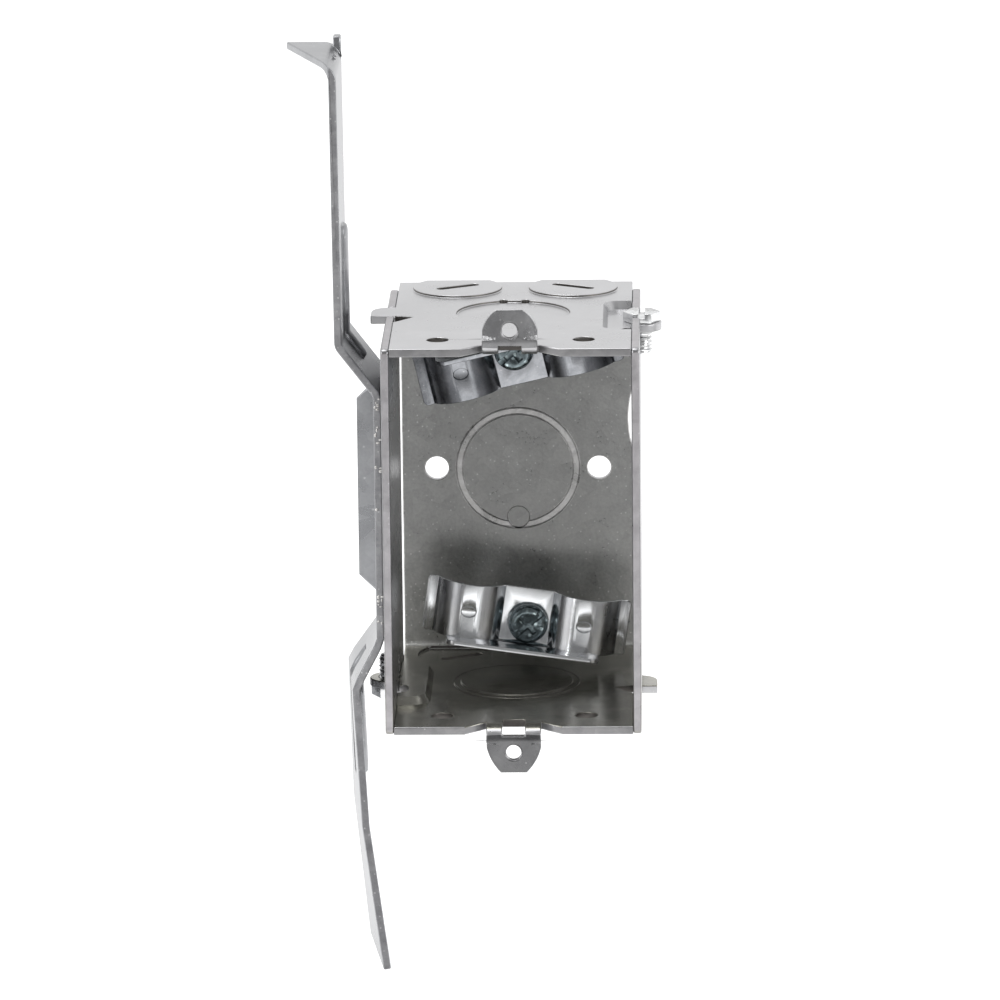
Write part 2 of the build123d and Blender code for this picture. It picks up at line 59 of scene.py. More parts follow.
MM = 0.001
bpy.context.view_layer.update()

MERGE_MM = 0.002
FLAT_DEG = 0.6
SMOOTH_DEG = 46.0
ROUND_FROM_DEG = 50.0
ROUND_STEPS = 3
SOFTEN_FROM_DEG = 25.0
SOFTEN_STEPS = 4

# Shares of a face's direction along an axis, as in the other names that end in share below.
SQUARE_ON = 0.95
TURNED_IN = 0.05

# A face this close to a rim, in millimetres, counts as lying on it.
AT_RIM_MM = 0.2

# Numbers of the Mix node's inputs, since several share one name.
MIX_SHARE = 0
MIX_NUMBERS = (2, 3)
MIX_COLOURS = (6, 7)
MIX_COLOUR_RESULT = 2


class Turn(Enum):
    """Which way up a pair of equal pieces stands."""

    UPRIGHT = 1
    OVER = -1


def within(value: float, span: Span) -> bool:
    """Whether a value lies inside a span."""
    return span[0] < value < span[1]


class Desk:
    """Short ways to lay nodes in one tree."""

    def __init__(self, tree: bpy.types.NodeTree) -> None:
        """Start on a node tree."""
        self.nodes = tree.nodes
        self.links = tree.links

    def feed(self, node: bpy.types.Node, feeds: Feeds) -> None:
        """Link sockets to a node's inputs, or set plain values.

        Args:
            node: The node to feed.
            feeds: A socket or a plain value for each input, by name or number.
        """
        for key, value in feeds.items():
            if isinstance(value, Socket):
                self.links.new(value, node.inputs[key])
            else:
                node.inputs[key].default_value = value

    def add(self, kind: str, feeds: Feeds | None = None, **settings: str) -> bpy.types.Node:
        """Add a node.

        Args:
            kind: The node's type.
            feeds: A socket or a plain value for each input, by name or number.
            **settings: Choices of the node itself, such as its operation.

        Returns:
            The new node.
        """
        node = self.nodes.new(kind)
        for name, choice in settings.items():
            setattr(node, name, choice)
        self.feed(node, feeds or {})
        return node

    def noise(self, place: Socket, size_mm: float, detail: float = 4.0,
              warp: float = 0.0) -> Socket:
        """Soft noise with features of a size in millimetres."""
        feeds = {"Vector": place, "Scale": 1.0 / (size_mm * MM), "Detail": detail,
                 "Distortion": warp}
        return self.add("ShaderNodeTexNoise", feeds).outputs["Fac"]

    def cells(self, place: Socket, size_mm: float) -> tuple[Socket, Socket]:
        """Crystal cells.

        Args:
            place: Coordinates to read.
            size_mm: Size of a cell.

        Returns:
            A random value for each cell, and the distance from its middle.
        """
        cell = self.add("ShaderNodeTexVoronoi", {"Vector": place, "Scale": 1.0 / (size_mm * MM)})
        split = self.add("ShaderNodeSeparateColor", {"Color": cell.outputs["Color"]})
        return split.outputs["Red"], cell.outputs["Distance"]

    def maths(self, operation: str, first: Socket | float, second: Socket | float = 0.0) -> Socket:
        """One Math node."""
        return self.add("ShaderNodeMath", {0: first, 1: second}, operation=operation).outputs[0]

    def remap(self, value: Socket, source: Span, target: Span = (0.0, 1.0)) -> Socket:
        """Turn one span of values into another, clamped.

        Args:
            value: The value to change.
            source: Values that become the target's two ends.
            target: The span of the result.

        Returns:
            The changed value.
        """
        feeds = {"Value": value, "From Min": source[0], "From Max": source[1],
                 "To Min": target[0], "To Max": target[1]}
        return self.add("ShaderNodeMapRange", feeds).outputs["Result"]

    def blend(self, share: Socket, first: Socket | Colour, second: Socket | Colour,
              how: str = "MIX") -> Socket:
        """Mix two colours.

        Args:
            share: Share of the second colour.
            first: The first colour.
            second: The second colour.
            how: The way of mixing.

        Returns:
            The mixed colour.
        """
        feeds = {MIX_SHARE: share}
        for key, value in zip(MIX_COLOURS, (first, second)):
            feeds[key] = (*value, 1.0) if isinstance(value, tuple) else value
        node = self.add("ShaderNodeMix", feeds, data_type="RGBA", blend_type=how)
        return node.outputs[MIX_COLOUR_RESULT]

    def shiny_rays(self, path: bpy.types.Node) -> Socket:
        """Whether a ray was mirrored or went through something, from a Light Path node."""
        return self.maths("MAXIMUM", path.outputs["Is Glossy Ray"],
                          path.outputs["Is Transmission Ray"])


@dataclass(frozen=True)
class MetalFinish:
    """A procedural sheet metal finish with spangle, grain, smudges, flecks that are partly painted
    glints, a low tint that is painted shade in some finishes and painted light in one, and a low
    bump.
    """

    name: str
    base: Colour
    dark: Colour
    metallic: float = 0.9
    ior: float = 1.8
    roughness: float = 0.26
    roughness_spread: float = 0.06
    spangle_mm: float = 2.4
    spangle_share: float = 0.25
    grain_mm: float = 0.5
    grain_share: float = 0.3
    smudge_mm: float = 9.0
    smudge_share: float = 0.45
    smudge_detail: float = 5.0
    smudge_warp: float = 0.6
    smudge_span: Span = (0.35, 0.65)
    # Colour of the bright flecks, which are partly specks of the metal and partly painted glints.
    fleck_glint: Colour = (0.8, 0.8, 0.8)
    fleck_mm: float = 1.3
    fleck_reach: float = 0.16
    fleck_core: float = 0.4
    fleck_chance: Span = (0.55, 0.75)
    fleck_strength: float = 0.35
    bump: float = 0.05
    bump_mm: float = 0.2
    # Colour that the finish is multiplied by towards the bottom: a warmer tint in some finishes,
    # painted shade or painted light in others.
    low_tint_and_painted_light: Colour | None = None
    low_start_mm: float = -12.0
    low_end_mm: float = -36.0
    low_share: float = 0.6

    def build(self) -> bpy.types.Material:
        """Make the material.

        Returns:
            The finished node material.
        """
        material = bpy.data.materials.new(self.name)
        material.use_nodes = True
        desk = Desk(material.node_tree)
        place = desk.add("ShaderNodeTexCoord").outputs["Object"]
        smudge = desk.noise(place, self.smudge_mm, self.smudge_detail, self.smudge_warp)
        parts = (
            (desk.cells(place, self.spangle_mm)[0], self.spangle_share),
            (desk.noise(place, self.grain_mm), self.grain_share),
            (desk.remap(smudge, self.smudge_span), self.smudge_share),
        )
        scaled = [desk.maths("MULTIPLY", value, share) for value, share in parts]
        total = desk.maths("ADD", desk.maths("ADD", scaled[0], scaled[1]), scaled[2])
        colour = desk.blend(total, self.dark, self.base)
        colour = desk.blend(self.glint_flecks(desk, place), colour, self.fleck_glint)
        # Multiply the colour towards the bottom; per finish this is a tint, painted shade or
        # painted light.
        if self.low_tint_and_painted_light is not None:
            split = desk.add("ShaderNodeSeparateXYZ", {"Vector": place})
            heights = (self.low_start_mm * MM, self.low_end_mm * MM)
            depth = desk.remap(split.outputs["Z"], heights, (0.0, self.low_share))
            colour = desk.blend(depth, colour, self.low_tint_and_painted_light, "MULTIPLY")

        roughness = (self.roughness - self.roughness_spread, self.roughness + self.roughness_spread)
        bump = desk.add("ShaderNodeBump", {"Strength": self.bump, "Distance": self.bump_mm * MM,
                                           "Height": total})
        desk.feed(desk.nodes["Principled BSDF"], {
            "Base Color": colour,
            "Metallic": self.metallic,
            "IOR": self.ior,
            "Roughness": desk.remap(total, (0.0, 1.0), roughness),
            "Normal": bump.outputs["Normal"],
        })
        return material

    def glint_flecks(self, desk: Desk, place: Socket) -> Socket:
        """Small bright flecks: partly specks of the metal, partly painted glints.

        Args:
            desk: Desk of the material.
            place: Coordinates to read.

        Returns:
            The share of the fleck colour.
        """
        lucky, reach = desk.cells(place, self.fleck_mm)
        near = desk.remap(reach, (self.fleck_reach, self.fleck_reach * self.fleck_core))
        chosen = desk.remap(lucky, self.fleck_chance)
        return desk.maths("MULTIPLY", desk.maths("MULTIPLY", near, chosen), self.fleck_strength)


@dataclass(frozen=True)
class Finishes:
    """Every finish of the box, made once."""

    shell: bpy.types.Material
    lining: bpy.types.Material
    plate: bpy.types.Material
    strip: bpy.types.Material
    clamp: bpy.types.Material
    bright_screw: bpy.types.Material
    dark_screw: bpy.types.Material
    shell_edge: bpy.types.Material
    lit_plate_edge: bpy.types.Material
    strip_edge: bpy.types.Material
    weld: bpy.types.Material
    back: bpy.types.Material
    rim: bpy.types.Material
    shaded_hole_wall: bpy.types.Material
    ear: bpy.types.Material
    shaded_clamp: bpy.types.Material

    @staticmethod
    def make() -> "Finishes":
        """Build all finishes.

        Returns:
            The finishes of the box.
        """
        return Finishes(
            shell=MetalFinish(
                "galvanized_shell", (0.56, 0.56, 0.57), (0.44, 0.44, 0.45),
                metallic=0.8, roughness=0.3, bump=0.03).build(),
            lining=MetalFinish(
                "galvanized_lining", (0.50, 0.505, 0.50), (0.27, 0.275, 0.27),
                metallic=0.85, roughness=0.22, low_tint_and_painted_light=(0.92, 0.87, 0.72)).build(),
            plate=MetalFinish(
                "galvanized_plate", (0.42, 0.42, 0.43), (0.25, 0.25, 0.26),
                roughness=0.3, smudge_mm=6.0, low_tint_and_painted_light=(0.96, 0.92, 0.82)).build(),
            strip=MetalFinish(
                "galvanized_strip", (0.43, 0.435, 0.45), (0.22, 0.225, 0.235),
                roughness=0.3, spangle_mm=3.0, smudge_mm=12.0, fleck_mm=2.0).build(),
            clamp=MetalFinish(
                "bright_zinc", (0.96, 0.97, 0.98), (0.76, 0.78, 0.80),
                metallic=1.0, roughness=0.16, roughness_spread=0.05, spangle_share=0.1,
                grain_share=0.4, smudge_mm=3.0, bump=0.03).build(),
            bright_screw=MetalFinish(
                "bright_screw_zinc", (0.92, 0.92, 0.92), (0.62, 0.63, 0.64),
                metallic=1.0, roughness=0.2, grain_mm=0.3, smudge_mm=3.0,
                spangle_mm=1.0).build(),
            # Dark zinc with strong bright flecks that paint glints.
            dark_screw=MetalFinish(
                "dark_screw_zinc", (0.30, 0.36, 0.38), (0.03, 0.042, 0.045),
                metallic=1.0, roughness=0.15, grain_mm=0.3, smudge_mm=1.4, spangle_mm=0.8,
                fleck_glint=(0.80, 0.95, 0.97), fleck_mm=1.2, fleck_reach=0.42, fleck_strength=0.9,
                bump=0.2).build(),
            shell_edge=MetalFinish(
                "sheared_shell_edge", (0.34, 0.335, 0.34), (0.20, 0.20, 0.205),
                metallic=0.85, roughness=0.36, grain_mm=0.3, smudge_mm=3.0).build(),
            # Cut edges of the plates, lighter than those of the shell: a real cut edge with a
            # partly painted highlight of its rounded edges.
            lit_plate_edge=MetalFinish(
                "sheared_plate_edge_highlight", (0.49, 0.475, 0.49), (0.30, 0.29, 0.30),
                metallic=0.85, roughness=0.34, grain_mm=0.3, smudge_mm=3.0).build(),
            # Cut edges of the strip, with bright flecks as painted glints, and darker towards the
            # lower arm as painted shade.
            strip_edge=MetalFinish(
                "sheared_strip_edge", (0.38, 0.38, 0.39), (0.17, 0.17, 0.18),
                metallic=0.8, roughness=0.36, grain_mm=0.35, grain_share=0.5, smudge_mm=3.0,
                fleck_glint=(0.9, 0.9, 0.9), fleck_mm=0.9, fleck_reach=0.25, fleck_strength=0.5,
                bump=0.2, low_tint_and_painted_light=(0.35, 0.35, 0.36), low_start_mm=-32.0,
                low_end_mm=-52.0).build(),
            weld=MetalFinish(
                "weld_spatter", (0.85, 0.84, 0.82), (0.40, 0.38, 0.36),
                metallic=0.6, roughness=0.34, grain_mm=0.2, smudge_mm=1.0, bump=0.4).build(),
            # Inner back panel, made lighter towards the bottom as painted light.
            back=MetalFinish(
                "galvanized_back", (0.43, 0.43, 0.42), (0.16, 0.162, 0.16),
                metallic=0.42, roughness=0.3, grain_mm=0.6, grain_share=0.6, smudge_mm=6.0,
                smudge_share=0.2, spangle_share=0.2, fleck_mm=0.9, fleck_reach=0.24,
                fleck_strength=0.45, bump=0.25, low_tint_and_painted_light=(1.6, 1.6, 1.55), low_start_mm=-8.0,
                low_end_mm=-30.0).build(),
            # Bright finish on the rings and sloping faces of the inner back panel: a painted
            # highlight.
            rim=MetalFinish(
                "rim_highlight", (0.80, 0.79, 0.78), (0.20, 0.20, 0.195),
                metallic=0.55, roughness=0.3, grain_mm=0.5, grain_share=0.2, smudge_mm=5.0,
                smudge_share=0.6, spangle_share=0.2, bump=0.2).build(),
            # Dark finish on steep walls of holes, slots and grooves: painted shade.
            shaded_hole_wall=MetalFinish(
                "painted_shade_hole_wall", (0.14, 0.13, 0.12), (0.06, 0.055, 0.05),
                metallic=0.7, roughness=0.4, grain_mm=0.4, fleck_strength=0.0).build(),
            # Darker finish on the fronts of the ears, darker still towards the bottom: painted
            # shade.
            ear=MetalFinish(
                "shaded_ear", (0.28, 0.28, 0.285), (0.15, 0.15, 0.155),
                metallic=0.85, roughness=0.28, smudge_mm=5.0, low_tint_and_painted_light=(0.55, 0.55, 0.55),
                low_start_mm=-20.0, low_end_mm=-40.0).build(),
            # Darker copy of the clamp zinc for the upper clamp: painted shade under the top panel.
            shaded_clamp=MetalFinish(
                "shaded_zinc", (0.48, 0.49, 0.515), (0.20, 0.21, 0.225),
                metallic=0.95, roughness=0.22, grain_mm=0.4, grain_share=0.45,
                spangle_share=0.15, smudge_mm=3.0, fleck_mm=0.9, fleck_strength=0.6,
                bump=0.1).build(),
        )


def link(obj: bpy.types.Object) -> bpy.types.Object:
    """Put an object in the scene and return it."""
    bpy.context.scene.collection.objects.link(obj)
    return obj


def settle(obj: bpy.types.Object) -> bpy.types.Object:
    """Turn an object with its modifiers into a plain mesh.

    Args:
        obj: The object to evaluate.

    Returns:
        The same object with an evaluated mesh and no modifiers.
    """
    graph = bpy.context.evaluated_depsgraph_get()
    mesh = bpy.data.meshes.new_from_object(obj.evaluated_get(graph), depsgraph=graph)
    mesh.name = obj.name
    obj.modifiers.clear()
    obj.data = mesh
    return obj


def shade(mesh: bpy.types.Mesh) -> None:
    """Shade a mesh smooth across all edges but the sharp ones."""
    mesh.polygons.foreach_set("use_smooth", [True] * len(mesh.polygons))
    mesh.set_sharp_from_angle(angle=math.radians(SMOOTH_DEG))


def merged_copy(node: str) -> bmesh.types.BMesh:
    """Copy a CAD node's mesh with its vertices merged and its flat faces joined.

    Args:
        node: Name of the CAD node.

    Returns:
        A new bmesh of the node.
    """
    shape = bmesh.new()
    shape.from_mesh(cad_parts[node].data)
    bmesh.ops.remove_doubles(shape, verts=shape.verts, dist=MERGE_MM * MM)
    bmesh.ops.dissolve_limit(shape, angle_limit=math.radians(FLAT_DEG), verts=shape.verts,
                             edges=shape.edges)
    return shape


def rounded_piece(
    name: str,
    shape: bmesh.types.BMesh,
    materials: tuple[bpy.types.Material, ...],
    round_mm: float,
    even: bool = True,
) -> bpy.types.Object:
    """Make a piece from a shape, with its sharp edges rounded a little.

    Args:
        name: Name of the new piece.
        shape: The shape, which is used up.
        materials: The finishes, the usual one first.
        round_mm: Width of the rounding.
        even: Whether broad flat faces rule the shading.

    Returns:
        The finished piece, still without a body.
    """
    mesh = bpy.data.meshes.new(name)
    shape.to_mesh(mesh)
    shape.free()
    piece = link(bpy.data.objects.new(name, mesh))
    for material in materials:
        mesh.materials.append(material)
    bevel = piece.modifiers.new("rounding", "BEVEL")
    bevel.width = round_mm * MM
    bevel.segments = ROUND_STEPS
    bevel.limit_method = "ANGLE"
    bevel.angle_limit = math.radians(ROUND_FROM_DEG)
    bevel.use_clamp_overlap = False
    bevel.harden_normals = False
    bevel.material = 0
    settle(piece)
    shade(piece.data)
    if not even:
        return piece
    level = piece.modifiers.new("even_shading", "WEIGHTED_NORMAL")
    level.mode = "FACE_AREA"
    level.weight = 100
    level.keep_sharp = True
    return settle(piece)


def paint_where(mesh: bpy.types.Mesh, index: int, rule: Callable[[Vector, Vector], bool]) -> None:
    """Give some faces another finish.

    Args:
        mesh: Mesh with more than one material slot.
        index: Slot number of the finish.
        rule: Says yes for a face's middle in millimetres and its direction.
    """
    for face in mesh.polygons:
        if rule(face.center / MM, face.normal):
            face.material_index = index


def soften(shape: bmesh.types.BMesh, rule: Callable[[Vector], bool], width_mm: float) -> None:
    """Round some edges of a shape more than the rest.

    Args:
        shape: The shape to change.
        rule: Says yes for the middle of an edge, in millimetres.
        width_mm: Width of the rounding.
    """
    chosen = [edge for edge in shape.edges
              if len(edge.link_faces) == 2
              and edge.calc_face_angle() > math.radians(SOFTEN_FROM_DEG)
              and rule((edge.verts[0].co + edge.verts[1].co) / (2.0 * MM))]
    bmesh.ops.bevel(shape, geom=chosen, offset=width_mm * MM, segments=SOFTEN_STEPS, profile=0.5,
                    affect="EDGES", clamp_overlap=True)


def join(parts: list[bpy.types.Mesh], mesh: bpy.types.Mesh) -> None:
    """Fill a mesh with the faces of several meshes, and shade it.

    Args:
        parts: The meshes to join.
        mesh: The mesh to fill, which may be one of them.
    """
    joined = bmesh.new()
    for part in parts:
        joined.from_mesh(part)
    joined.to_mesh(mesh)
    joined.free()
    shade(mesh)


def lay_along(mesh: bpy.types.Mesh, start: Vector, along: Vector) -> None:
    """Turn a mesh from +Z to another direction, and put it in its place.

    Args:
        mesh: The mesh to move.
        start: Where its origin goes, in metres.
        along: The direction that its +Z takes.
    """
    turn = Vector((0, 0, 1)).rotation_difference(along).to_matrix().to_4x4()
    mesh.transform(Matrix.Translation(start) @ turn)


class MeshTree:
    """A Geometry Nodes tree with named sizes and a finish."""

    def __init__(self, name: str, sizes: dict[str, float | int], on_mesh: bool) -> None:
        """Make the tree with its inputs and its output.

        Args:
            name: Name of the tree.
            sizes: Name and usual value of each size.
            on_mesh: Whether the tree works on the object's own mesh.
        """
        self.tree = bpy.data.node_groups.new(name, "GeometryNodeTree")
        self.keys: dict[str, str] = {}
        if on_mesh:
            self.add_socket("Geometry", "NodeSocketGeometry")
        for label, value in sizes.items():
            kind = "NodeSocketInt" if isinstance(value, int) else "NodeSocketFloat"
            self.add_socket(label, kind).default_value = value
        self.add_socket("Finish", "NodeSocketMaterial")
        self.add_socket("Geometry", "NodeSocketGeometry", "OUTPUT")
        self.desk = Desk(self.tree)
        self.given = self.desk.add("NodeGroupInput").outputs

    def add_socket(self, label: str, kind: str,
                   side: str = "INPUT") -> bpy.types.NodeTreeInterfaceSocket:
        """Add a named socket to the tree.

        Args:
            label: Name of the socket.
            kind: Its type.
            side: INPUT or OUTPUT.

        Returns:
            The new socket.
        """
        socket = self.tree.interface.new_socket(name=label, in_out=side, socket_type=kind)
        if side == "INPUT":
            self.keys[label] = socket.identifier
        return socket

    def close(self, shape: Socket) -> None:
        """Give the shape its finish and lead it out of the tree.

        Args:
            shape: The shape, with its instances realized.
        """
        feeds = {"Geometry": shape, "Material": self.given["Finish"]}
        paint = self.desk.add("GeometryNodeSetMaterial", feeds)
        self.desk.add("NodeGroupOutput", {"Geometry": paint.outputs["Geometry"]})

    def run(self, piece: bpy.types.Object,
            values: dict[str, float | bpy.types.Material]) -> bpy.types.Object:
        """Run the tree on an object and keep the result as its plain mesh.

        Args:
            piece: The object to run it on.
            values: Value of each named input that isn't left as it is.

        Returns:
            The same object.
        """
        modifier = piece.modifiers.new(self.tree.name, "NODES")
        modifier.node_group = self.tree
        for label, value in values.items():
            modifier[self.keys[label]] = value
        return settle(piece)


class ThreadTree(MeshTree):
    """Geometry nodes that wind a thread ridge along +Z."""

    STEPS_PER_TURN = 28
    RIDGE_CORNERS = 4

    def __init__(self) -> None:
        """Build the tree once."""
        sizes = {"Turns": 20.0, "Radius": 1.9 * MM, "Length": 15.0 * MM, "Ridge": 0.3 * MM}
        super().__init__("thread_ridge", sizes, on_mesh=False)
        spiral = self.desk.add("GeometryNodeCurveSpiral", {
            "Resolution": self.STEPS_PER_TURN,
            "Rotations": self.given["Turns"],
            "Start Radius": self.given["Radius"],
            "End Radius": self.given["Radius"],
            "Height": self.given["Length"],
        })
        profile = self.desk.add("GeometryNodeCurvePrimitiveCircle", {
            "Resolution": self.RIDGE_CORNERS,
            "Radius": self.given["Ridge"],
        })
        sweep = self.desk.add("GeometryNodeCurveToMesh", {
            "Curve": spiral.outputs["Curve"],
            "Profile Curve": profile.outputs["Curve"],
            "Fill Caps": True,
        })
        real = self.desk.add("GeometryNodeRealizeInstances", {"Geometry": sweep.outputs["Mesh"]})
        self.close(real.outputs["Geometry"])

    def wind(self, name: str, turns: float, radius_mm: float, length_mm: float, ridge_mm: float,
             finish: bpy.types.Material) -> bpy.types.Mesh:
        """Wind one thread.

        Args:
            name: Name of the mesh.
            turns: Number of turns.
            radius_mm: Radius of the middle of the ridge.
            length_mm: Length of the thread.
            ridge_mm: Half the height of the ridge.
            finish: Material of the ridge.

        Returns:
            A plain mesh along +Z.
        """
        holder = link(bpy.data.objects.new(name, bpy.data.meshes.new(name)))
        self.run(holder, {"Turns": turns, "Radius": radius_mm * MM, "Length": length_mm * MM,
                          "Ridge": ridge_mm * MM, "Finish": finish})
        mesh = holder.data
        bpy.data.objects.remove(holder)
        return mesh


@dataclass
class BoxShell:
    """The folded sheet with its ears, lugs, pockets and knockouts."""

    finishes: Finishes
    threads: ThreadTree
    sheet_mm: float = 1.6
    half_height_mm: float = 38.1
    half_width_mm: float = 23.1
    depth_mm: float = 63.5
    round_mm: float = 0.22
    near_mm: float = 0.1
    pressed_mm: float = 1.8
    cut_facing_share: float = 0.7
    cut_lean_share: float = 0.3
    flat_back_share: float = 0.97
    steep_share: float = 0.35
    ear_facing_share: float = 0.5
    panel_z_mm: Span = (36.0, 38.75)
    panel_y_mm: Span = (5.0, 61.0)
    panel_half_width_mm: float = 22.5
    back_half_height_mm: float = 34.0
    ring_depth_mm: Span = (0.1, 0.35)
    ear_front_mm: float = 2.4
    front_side_mm: float = 1.0
    pocket_x_mm: Span = (15.6, 22.2)
    pocket_y_mm: Span = (14.5, 45.5)
    pocket_z_mm: Span = (34.2, 38.3)
    pocket_round_mm: float = 0.7
    tie_drop_mm: float = 10.0
    tie_reach_mm: float = 2.6
    tie_y_mm: Span = (61.2, 61.75)
    tie_round_mm: float = 0.42
    ear_hole_mm: float = 41.65
    thread_turns: float = 2.2
    thread_start_mm: float = 0.15
    thread_radius_mm: float = 1.62
    thread_length_mm: float = 1.3
    thread_ridge_mm: float = 0.16

    def in_pocket(self, middle: Vector) -> bool:
        """Whether an edge belongs to a pocket's sloping walls.

        Args:
            middle: Middle of the edge in millimetres.

        Returns:
            Yes or no.
        """
        side = middle.x * math.copysign(1.0, middle.z)
        return (within(side, self.pocket_x_mm) and within(middle.y, self.pocket_y_mm)
                and within(abs(middle.z), self.pocket_z_mm))

    def in_tie(self, middle: Vector) -> bool:
        """Whether an edge belongs to the half-round tie of the back knockout."""
        away = math.hypot(middle.x, middle.z + self.tie_drop_mm)
        return within(middle.y, self.tie_y_mm) and away < self.tie_reach_mm

    def is_cut_side(self, middle: Vector, facing: Vector) -> bool:
        """Whether a face is a cut side of the sheet at the rim of a panel.

        Args:
            middle: Middle of the face in millimetres.
            facing: Direction of the face.

        Returns:
            Yes or no.
        """
        in_sheet = self.panel_z_mm[0] < abs(middle.z) < self.half_height_mm
        at_front = middle.y < self.panel_y_mm[0] and facing.y < -self.cut_facing_share
        if at_front and in_sheet:
            return abs(facing.z) < self.cut_lean_share
        at_side = abs(abs(middle.x) - self.half_width_mm) < self.near_mm
        return at_side and abs(facing.x) > SQUARE_ON

    def is_inside(self, middle: Vector, facing: Vector) -> bool:
        """Whether a face looks into the box from the top or bottom panel.

        Args:
            middle: Middle of the face in millimetres.
            facing: Direction of the face.

        Returns:
            Yes or no.
        """
        near_panel = abs(middle.z) > self.half_height_mm - self.sheet_mm - self.pressed_mm
        under_skin = abs(middle.z) < self.half_height_mm - AT_RIM_MM
        if near_panel and under_skin and middle.y > self.front_side_mm:
            return facing.z * middle.z < -TURNED_IN
        return False

    def is_back(self, middle: Vector, facing: Vector) -> bool:
        """Whether a face is the inner side of the back panel."""
        start = self.depth_mm - self.sheet_mm - self.pressed_mm
        return middle.y > start and facing.y < -TURNED_IN

    def is_rim(self, middle: Vector, facing: Vector) -> bool:
        """Whether a face is a ring or a sloping face of the inner back panel, which gets a painted
        highlight.

        Args:
            middle: Middle of the face in millimetres.
            facing: Direction of the face.

        Returns:
            Yes or no.
        """
        if not self.is_back(middle, facing) or abs(middle.z) > self.back_half_height_mm:
            return False
        inner_side = self.depth_mm - self.sheet_mm
        shallow, deep = self.ring_depth_mm
        in_ring = inner_side - deep < middle.y < inner_side - shallow
        return in_ring or facing.y > -self.flat_back_share

    def is_hole_wall(self, middle: Vector, facing: Vector) -> bool:
        """Whether a face is a steep wall of a hole, slot or groove in the top or bottom panel,
        painted dark as shade.

        Args:
            middle: Middle of the face in millimetres.
            facing: Direction of the face.

        Returns:
            Yes or no.
        """
        in_panel = (within(abs(middle.z), self.panel_z_mm) and within(middle.y, self.panel_y_mm)
                    and abs(middle.x) < self.panel_half_width_mm)
        return in_panel and abs(facing.z) < self.steep_share

    def is_ear(self, middle: Vector, facing: Vector) -> bool:
        """Whether a face is on the front of an ear, which is painted darker as shade."""
        in_ear = abs(middle.z) > self.half_height_mm + self.near_mm and middle.y < self.ear_front_mm
        return in_ear and facing.y < -self.ear_facing_share

    def build(self) -> None:
        """Build the dressed shell."""
        shape = merged_copy("box_body")
        soften(shape, self.in_pocket, self.pocket_round_mm)
        soften(shape, self.in_tie, self.tie_round_mm)
        looks = self.finishes
        # Some of these finishes paint light: a highlight on the back rims, shade on the hole walls
        # and on the ear fronts.
        painted = (
            (looks.lining, self.is_inside),
            (looks.shell_edge, self.is_cut_side),
            (looks.back, self.is_back),
            (looks.rim, self.is_rim),
            (looks.shaded_hole_wall, self.is_hole_wall),
            (looks.ear, self.is_ear),
        )
        materials = (looks.shell, *(finish for finish, _ in painted))
        piece = rounded_piece("shell", shape, materials, self.round_mm)
        for index, (_, rule) in enumerate(painted, start=1):
            paint_where(piece.data, index, rule)
        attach(piece, "root")
        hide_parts("box_body")
        LOG.info("shell: %d faces", len(piece.data.polygons))
        self.add_ear_threads()

    def add_ear_threads(self) -> None:
        """Wind a fine thread inside both device screw holes."""
        wound = []
        for side in (1.0, -1.0):
            thread = self.threads.wind(
                "ear_thread", self.thread_turns, self.thread_radius_mm, self.thread_length_mm,
                self.thread_ridge_mm, self.finishes.shell_edge)
            start = Vector((0.0, self.thread_start_mm, side * self.ear_hole_mm)) * MM
            lay_along(thread, start, Vector((0, 1, 0)))
            wound.append(thread)
        mesh = bpy.data.meshes.new("ear_threads")
        mesh.materials.append(self.finishes.shell_edge)
        join(wound, mesh)
        threads = link(bpy.data.objects.new("ear_threads", mesh))
        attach(threads, "root")
        LOG.info("ear threads: %d faces", len(mesh.polygons))


@dataclass
class SidePlates:
    """The two removable side plates."""

    finishes: Finishes
    depth_mm: float = 55.0
    half_height_mm: float = 38.1
    round_mm: float = 0.4

    def is_cut_side(self, middle: Vector, facing: Vector) -> bool:
        """Whether a face is a cut side of the plate.

        Args:
            middle: Middle of the face in millimetres.
            facing: Direction of the face.

        Returns:
            Yes or no.
        """
        if abs(facing.y) > SQUARE_ON:
            return middle.y < AT_RIM_MM or middle.y > self.depth_mm - AT_RIM_MM
        return abs(facing.z) > SQUARE_ON and abs(middle.z) > self.half_height_mm - AT_RIM_MM

    def build(self) -> None:
        """Build both plates."""
        materials = (self.finishes.plate, self.finishes.lit_plate_edge)
        for side in ("left", "right"):
            node = f"{side}_side_plate"
            piece = rounded_piece(f"{side}_plate", merged_copy(node), materials, self.round_mm)
            paint_where(piece.data, 1, self.is_cut_side)
            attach(piece, "root")
            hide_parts(node)
            LOG.info("%s plate: %d faces", side, len(piece.data.polygons))


